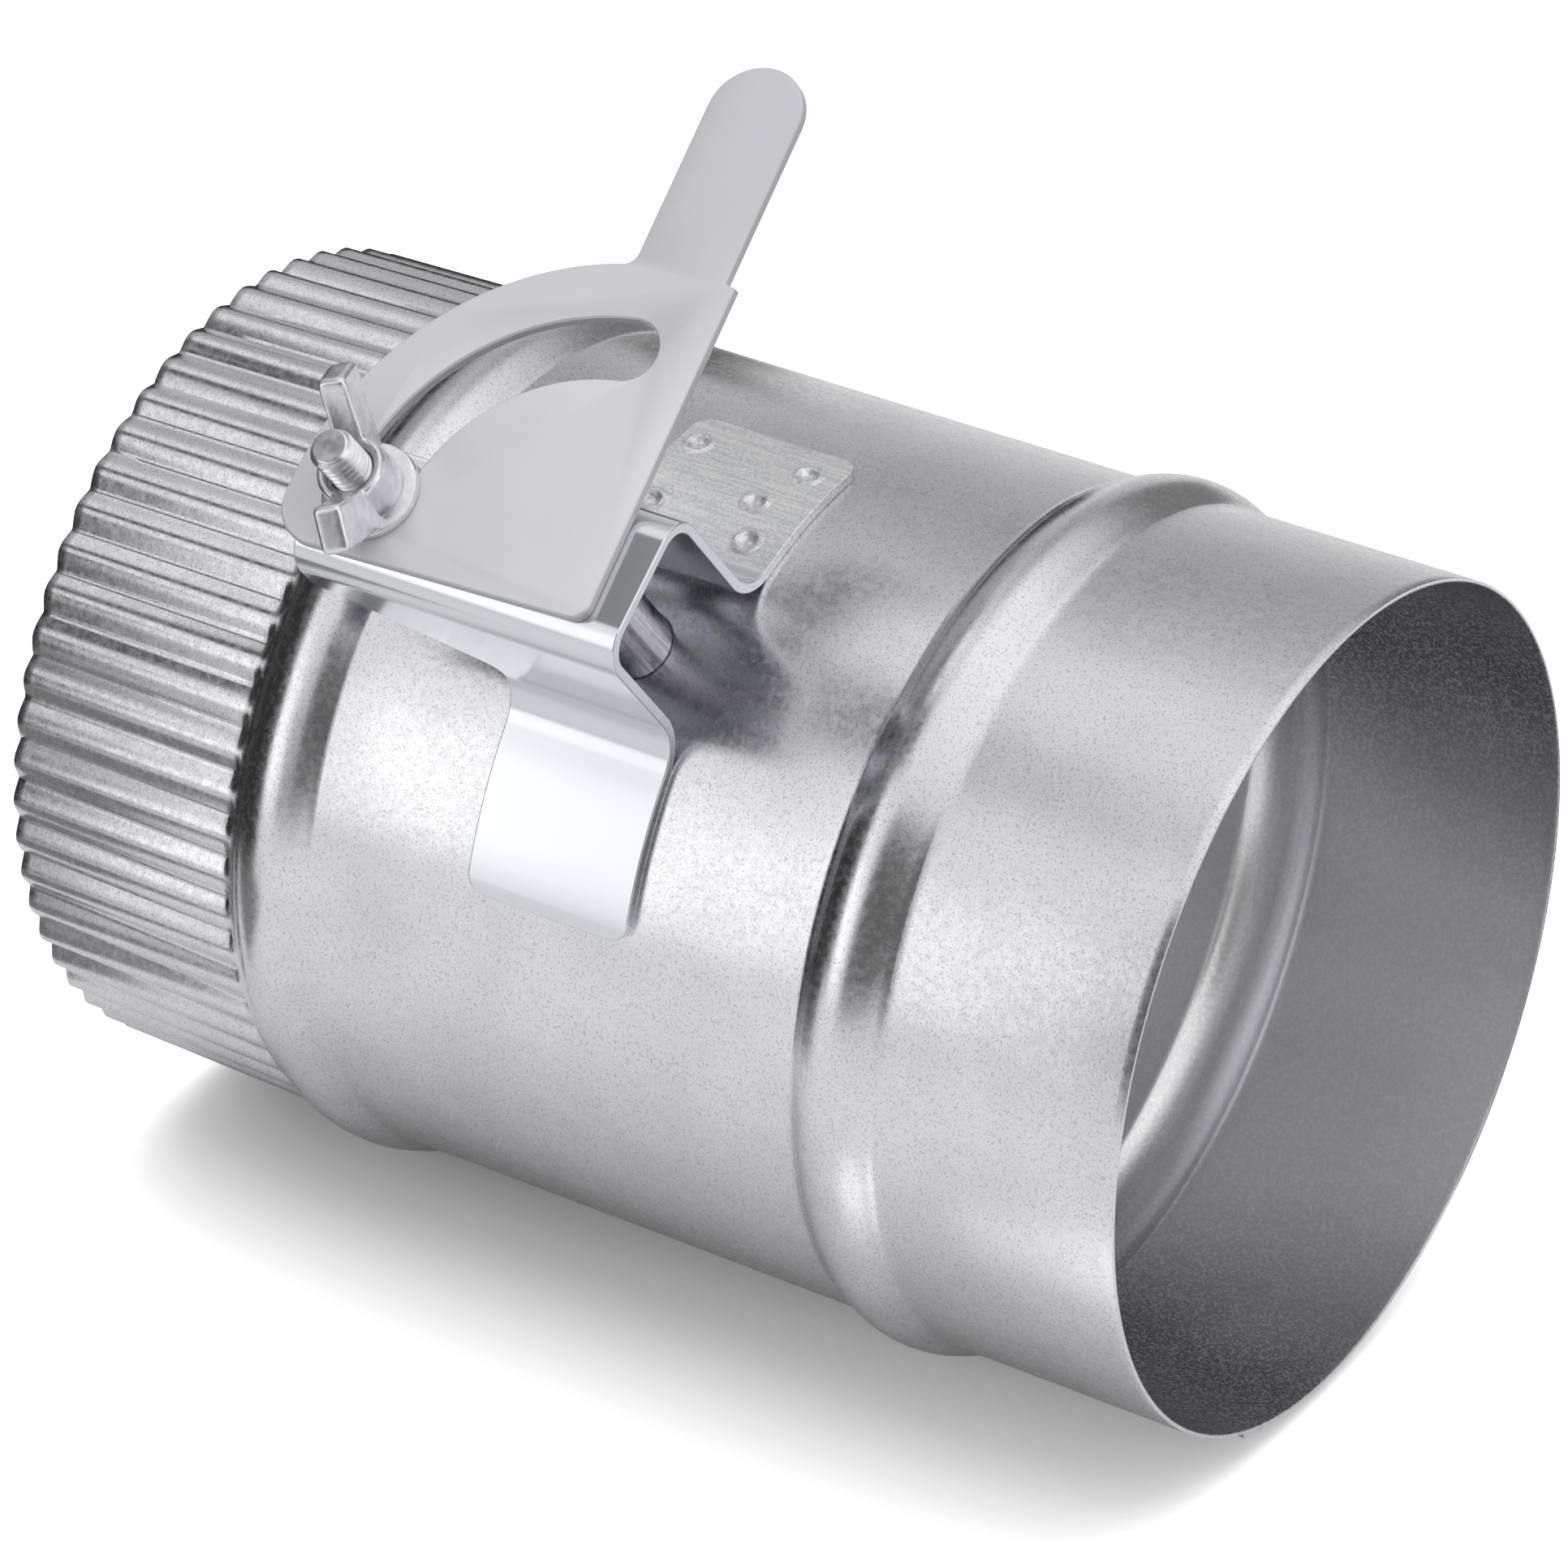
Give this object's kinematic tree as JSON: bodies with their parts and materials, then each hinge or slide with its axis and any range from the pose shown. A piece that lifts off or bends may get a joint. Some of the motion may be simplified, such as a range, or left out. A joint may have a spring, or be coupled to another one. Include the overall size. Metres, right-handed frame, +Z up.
{
  "type": "manual duct damper",
  "caption": "Round duct damper with rolled beads, a crimped end, and a butterfly blade turned by a slotted quadrant lever that a wing nut clamps to a folded bracket.",
  "frame": {"origin": "centre of the mouth of the plain end, on the duct's axis", "axes": "+X along the duct out of the plain end, +Z up as the duct lies in the picture; the axle leans 39 degrees from +Z towards -Y"},
  "size_m": [0.23, 0.1728, 0.2262],
  "materials": {
    "galvanized_duct": "galvanized sheet with fine dark flecks",
    "bracket_steel": "smooth bright galvanized sheet",
    "lever_steel": "smooth satin galvanized plate",
    "zinc_hardware": "bright zinc plating",
    "axle_steel": "drawn steel bar",
    "blade_steel": "galvanized sheet"
  },
  "bodies": {
    "duct": {"duct_tube": "galvanized_duct", "bracket": "bracket_steel", "carriage_bolt": "zinc_hardware"},
    "damper": {"lever": "lever_steel", "axle": "axle_steel", "blade": "blade_steel", "blade_rivet_1": "axle_steel", "blade_rivet_2": "axle_steel", "blade_rivet_3": "axle_steel"},
    "washer": {"washer": "zinc_hardware"},
    "wing_nut": {"wing_nut": "zinc_hardware"}
  },
  "joints": [
    {"name": "damper_turn", "type": "hinge", "parent": "duct", "child": "damper", "pos_m": [-0.113, -0.0725, 0.08953], "axis": [0, -0.6293, 0.7771], "range_deg": [0, 81]},
    {"name": "washer_lift", "type": "slide", "parent": "duct", "child": "washer", "axis": [0, -0.6293, 0.7771], "range_m": [0, 0.00283]},
    {"name": "wing_nut_turn", "type": "hinge", "parent": "washer", "child": "wing_nut", "pos_m": [-0.151, -0.07552, 0.09326], "axis": [0, -0.6293, 0.7771], "range_deg": [0, 720]}
  ],
  "couplings": [
    {"joint": "washer_lift", "follows": "wing_nut_turn", "m_per_rad": 0.00022457}
  ]
}
